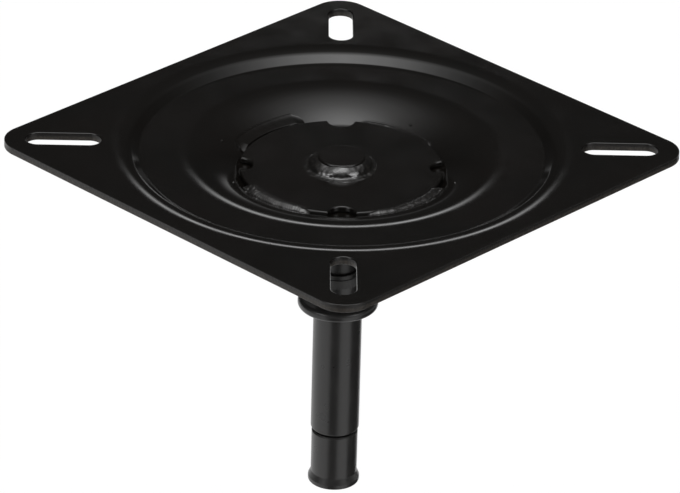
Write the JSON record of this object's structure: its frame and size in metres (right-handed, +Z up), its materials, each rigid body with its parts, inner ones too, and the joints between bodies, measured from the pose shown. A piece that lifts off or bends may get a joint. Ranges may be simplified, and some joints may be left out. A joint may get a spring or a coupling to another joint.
{
  "type": "seat mount",
  "caption": "Pin-type swivel seat mount: a square pressed steel plate with a deep dish, a welded hub disc and corner slots, turning on a steel pin in moulded bushings.",
  "frame": {"origin": "centre of the plate's upper face plane, on the pin's axis, in the middle of the four slots", "axes": "+Z up out of the plate's seat face and the pin points along -Z; the plate's corners and slots lie on X and Y"},
  "size_m": [0.2422, 0.2422, 0.1387],
  "materials": {
    "coated_steel": "gloss black electrocoat over pressed steel, raw-looking at the sheared edges",
    "coated_weld": "gloss black electrocoat over a rippled hand-laid weld bead",
    "moulded_bushing": "satin black moulded nylon"
  },
  "bodies": {
    "pedestal_bushings": {"flanged_bushing": "moulded_bushing", "end_bushing": "moulded_bushing"},
    "seat_plate": {"mounting_plate": "coated_steel", "hub_disc": "coated_steel", "hub_weld_1": "coated_weld", "hub_weld_2": "coated_weld", "hub_weld_3": "coated_weld", "hub_weld_4": "coated_weld", "pin": "coated_steel", "head_weld_ring": "coated_weld", "foot_weld_ring": "coated_weld", "stop_ring": "coated_steel"}
  },
  "joints": [
    {"name": "swivel", "type": "hinge", "parent": "pedestal_bushings", "child": "seat_plate", "pos_m": [0, 0, -0.09], "axis": [0, 0, 1], "continuous": true}
  ]
}
